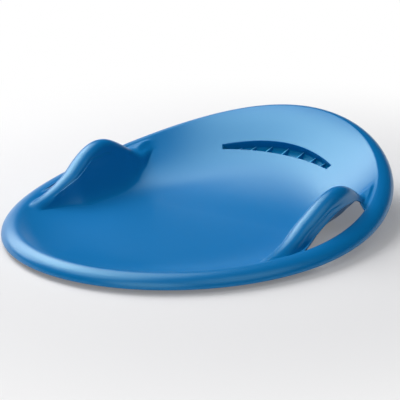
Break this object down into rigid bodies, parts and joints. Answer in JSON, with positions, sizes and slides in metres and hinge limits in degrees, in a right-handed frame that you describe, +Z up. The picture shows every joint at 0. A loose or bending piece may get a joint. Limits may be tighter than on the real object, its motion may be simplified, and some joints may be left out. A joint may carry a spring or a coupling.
{
  "type": "saucer snow sled",
  "caption": "Shallow oval snow sled with a raised back, a rolled rim, arched side grips and a ribbed crescent hand slot.",
  "frame": {"origin": "on the ground under the middle of the rim, centre of the overall box in plan", "axes": "+Y towards the raised back, +X to the rider's right, +Z up"},
  "size_m": [0.559, 0.656, 0.118],
  "materials": {
    "shell_blue": "smooth semi-gloss moulding",
    "slot_blue": "smooth semi-gloss moulding"
  },
  "bodies": {
    "root": {"seat_pan": "shell_blue", "backrest": "shell_blue", "front_rim": "shell_blue", "right_rim": "shell_blue", "back_rim": "shell_blue", "left_rim": "shell_blue", "left_grip": "shell_blue", "right_grip": "shell_blue", "left_grip_wall": "shell_blue", "right_grip_wall": "shell_blue", "hand_slot_pocket": "slot_blue", "slot_rib_1": "slot_blue", "slot_rib_2": "slot_blue", "slot_rib_3": "slot_blue", "slot_rib_4": "slot_blue", "slot_rib_5": "slot_blue", "slot_rib_6": "slot_blue", "slot_rib_7": "slot_blue", "slot_rib_8": "slot_blue", "slot_rib_9": "slot_blue"}
  },
  "joints": []
}
